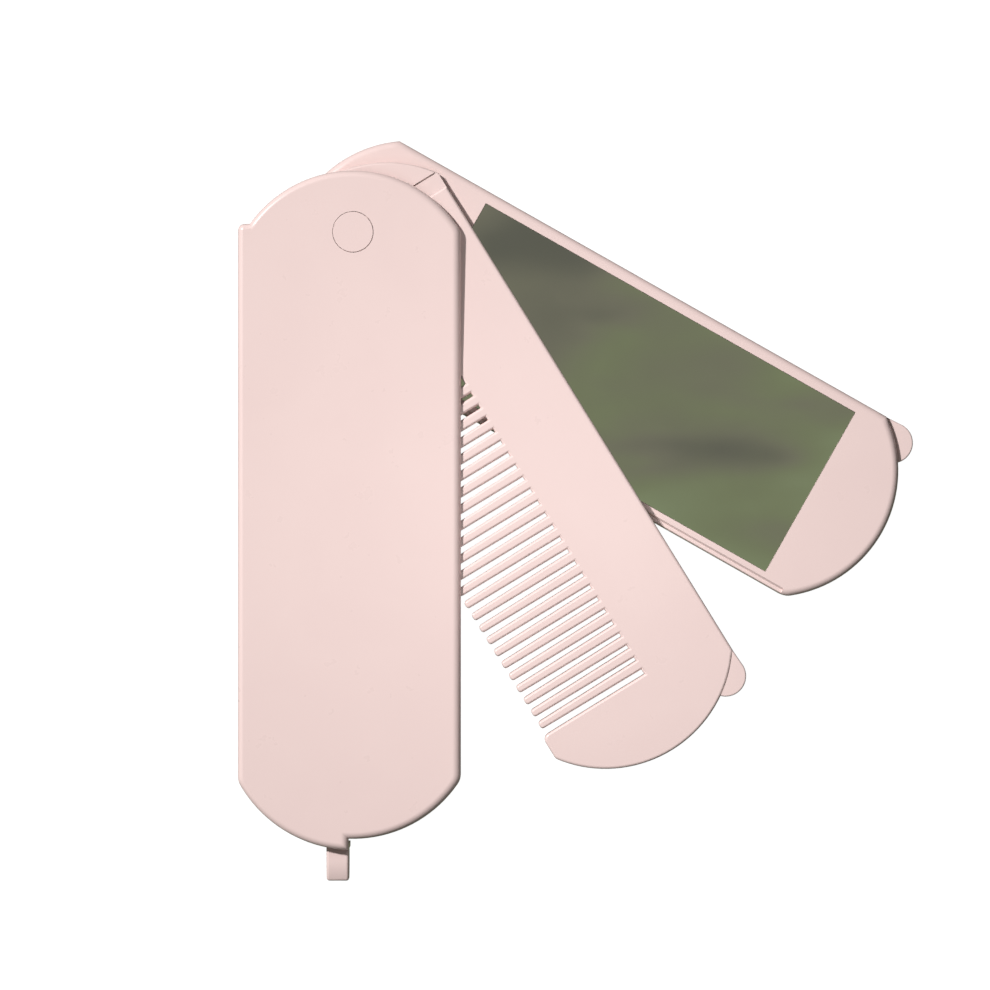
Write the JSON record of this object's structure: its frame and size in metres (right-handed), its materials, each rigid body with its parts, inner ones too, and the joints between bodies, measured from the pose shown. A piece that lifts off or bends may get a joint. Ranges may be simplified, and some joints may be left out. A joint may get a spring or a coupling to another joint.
{
  "type": "folding comb with mirror",
  "caption": "Folding comb and mirror leaves that swing out of a slim half case on a shared flush pivot pin, with a small lug for a ring.",
  "frame": {"origin": "on the pivot axis, in the plane of the back on which the comb lies", "axes": "+Z along the pivot axis towards the cover's front, +Y from the lug end towards the pivot end of the cover, +X towards the side on which the leaves swing out"},
  "size_m": [0.1203, 0.1319, 0.0092],
  "materials": {
    "cover": "satin pale pink",
    "pivot_pin": "satin pale pink",
    "comb": "satin pale pink",
    "mirror_frame": "satin pale pink",
    "mirror_glass": "silvered glass"
  },
  "bodies": {
    "cover": {"cover": "cover", "pivot_pin": "pivot_pin"},
    "comb": {"comb": "comb"},
    "mirror": {"mirror_frame": "mirror_frame", "mirror_glass": "mirror_glass"}
  },
  "joints": [
    {"name": "comb_pivot", "type": "hinge", "parent": "cover", "child": "comb", "pos_m": [0, 0, 0.0064], "axis": [0, 0, 1], "range_deg": [-31.65, 148.35]},
    {"name": "mirror_pivot", "type": "hinge", "parent": "cover", "child": "mirror", "pos_m": [0, 0, 0.0024], "axis": [0, 0, 1], "range_deg": [-60.5, 119.5]}
  ]
}
